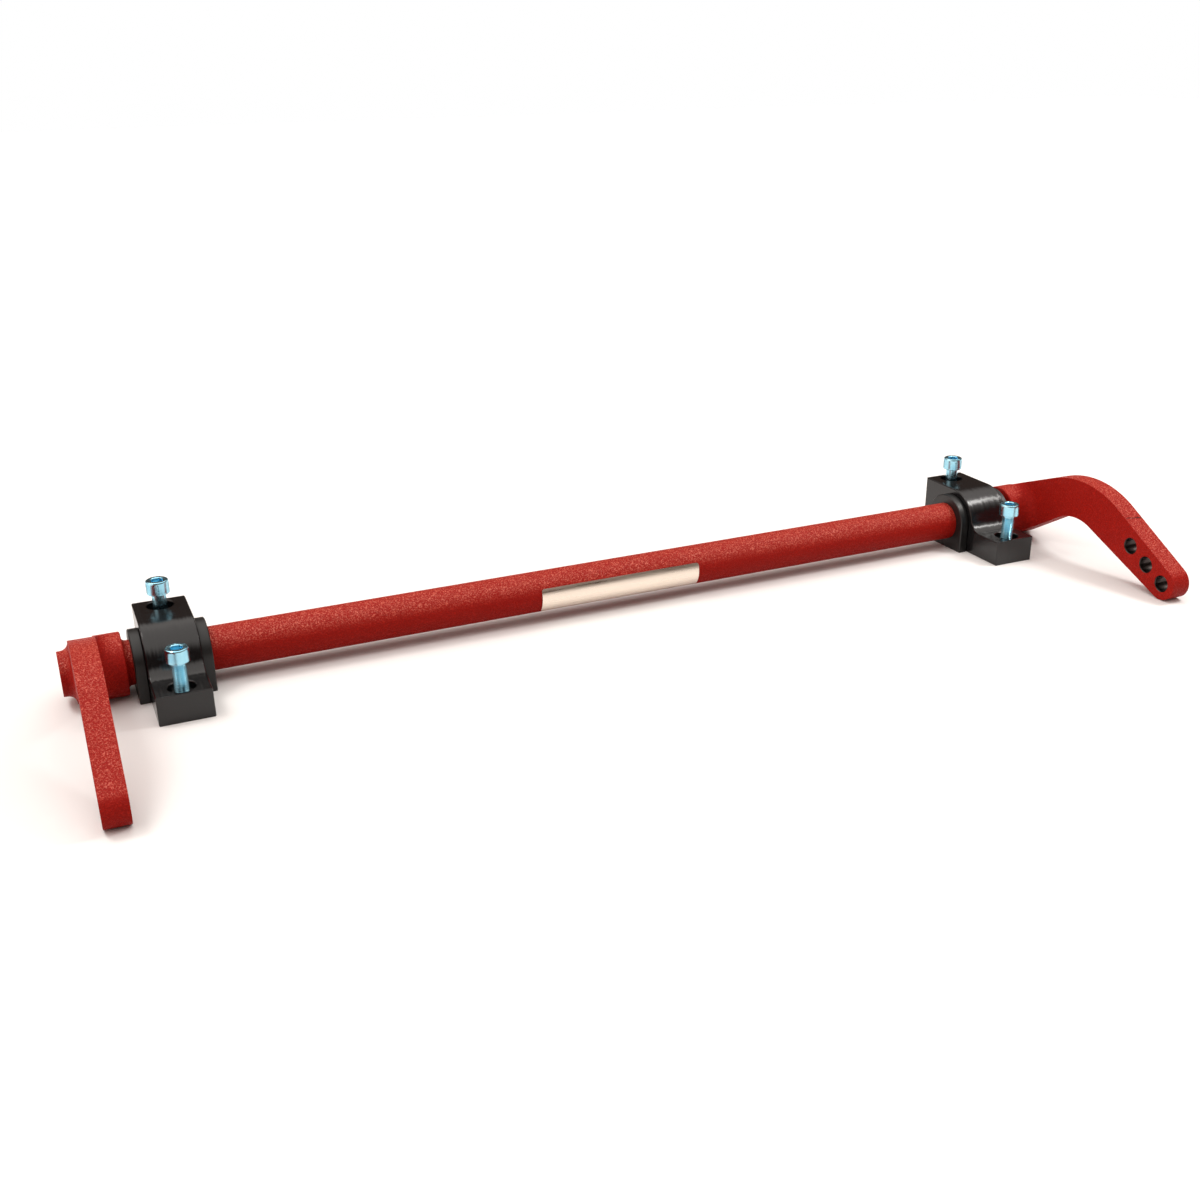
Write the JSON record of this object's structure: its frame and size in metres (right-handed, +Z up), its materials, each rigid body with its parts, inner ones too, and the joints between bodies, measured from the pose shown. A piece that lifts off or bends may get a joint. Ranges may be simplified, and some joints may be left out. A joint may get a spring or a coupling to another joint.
{
  "type": "sway bar",
  "caption": "Hollow sway bar with bent lever arms and rows of link holes, turning in flanged bushings held by bolted brackets.",
  "frame": {"origin": "middle of the footprint, on the plane the brackets are bolted to", "axes": "+X along the bar to the right-hand end, +Z up from the mounting plane, the arms reach towards -Y"},
  "size_m": [0.8406, 0.2324, 0.0713],
  "materials": {
    "red_powder_coat": "red wrinkle powder coat on steel",
    "black_anodised": "black satin anodised, machined",
    "black_plastic": "black machined bearing plastic",
    "blue_zinc": "bright blue zinc plate on steel",
    "badge_metal": "brushed, unmarked",
    "adhesive": "thin mounting tape",
    "plug_steel": "coated with the bar"
  },
  "bodies": {
    "mounts": {"left_bushing": "black_plastic", "right_bushing": "black_plastic"},
    "bar": {"bar_tube": "red_powder_coat", "badge_plate": "badge_metal", "badge_adhesive": "adhesive", "left_tube_plug": "plug_steel", "right_tube_plug": "plug_steel"},
    "left_lever": {"left_arm": "red_powder_coat", "left_hub_weld": "red_powder_coat", "left_end_weld": "red_powder_coat"},
    "right_lever": {"right_arm": "red_powder_coat", "right_hub_weld": "red_powder_coat", "right_end_weld": "red_powder_coat"},
    "left_clamp": {"left_bracket": "black_anodised"},
    "right_clamp": {"right_bracket": "black_anodised"},
    "left_long_screw": {"left_long_bolt": "blue_zinc"},
    "left_short_screw": {"left_short_bolt": "blue_zinc"},
    "right_long_screw": {"right_long_bolt": "blue_zinc"},
    "right_short_screw": {"right_short_bolt": "blue_zinc"}
  },
  "joints": [
    {"name": "bar_roll", "type": "hinge", "parent": "mounts", "child": "bar", "pos_m": [0, 0.0767, 0.023], "axis": [-1, 0, 0], "range_deg": [-25, 25]},
    {"name": "left_arm_twist", "type": "hinge", "parent": "bar", "child": "left_lever", "pos_m": [0, 0.0767, 0.023], "axis": [-1, 0, 0], "range_deg": [-8, 8], "stiffness_Nm_per_rad": 60},
    {"name": "right_arm_twist", "type": "hinge", "parent": "bar", "child": "right_lever", "pos_m": [0, 0.0767, 0.023], "axis": [-1, 0, 0], "range_deg": [-8, 8], "stiffness_Nm_per_rad": 60},
    {"name": "left_bracket_lift", "type": "slide", "parent": "mounts", "child": "left_clamp", "axis": [0, 0, 1], "range_m": [0, 0.05]},
    {"name": "left_long_bolt_travel", "type": "slide", "parent": "left_clamp", "child": "left_long_screw", "axis": [0, 0, 1], "range_m": [-0.025, 0.055]},
    {"name": "left_short_bolt_travel", "type": "slide", "parent": "left_clamp", "child": "left_short_screw", "axis": [0, 0, 1], "range_m": [-0.025, 0.025]},
    {"name": "right_bracket_lift", "type": "slide", "parent": "mounts", "child": "right_clamp", "axis": [0, 0, 1], "range_m": [0, 0.05]},
    {"name": "right_long_bolt_travel", "type": "slide", "parent": "right_clamp", "child": "right_long_screw", "axis": [0, 0, 1], "range_m": [-0.025, 0.055]},
    {"name": "right_short_bolt_travel", "type": "slide", "parent": "right_clamp", "child": "right_short_screw", "axis": [0, 0, 1], "range_m": [-0.025, 0.025]}
  ],
  "couplings": [
    {"joint": "right_arm_twist", "follows": "left_arm_twist", "ratio": -1}
  ]
}
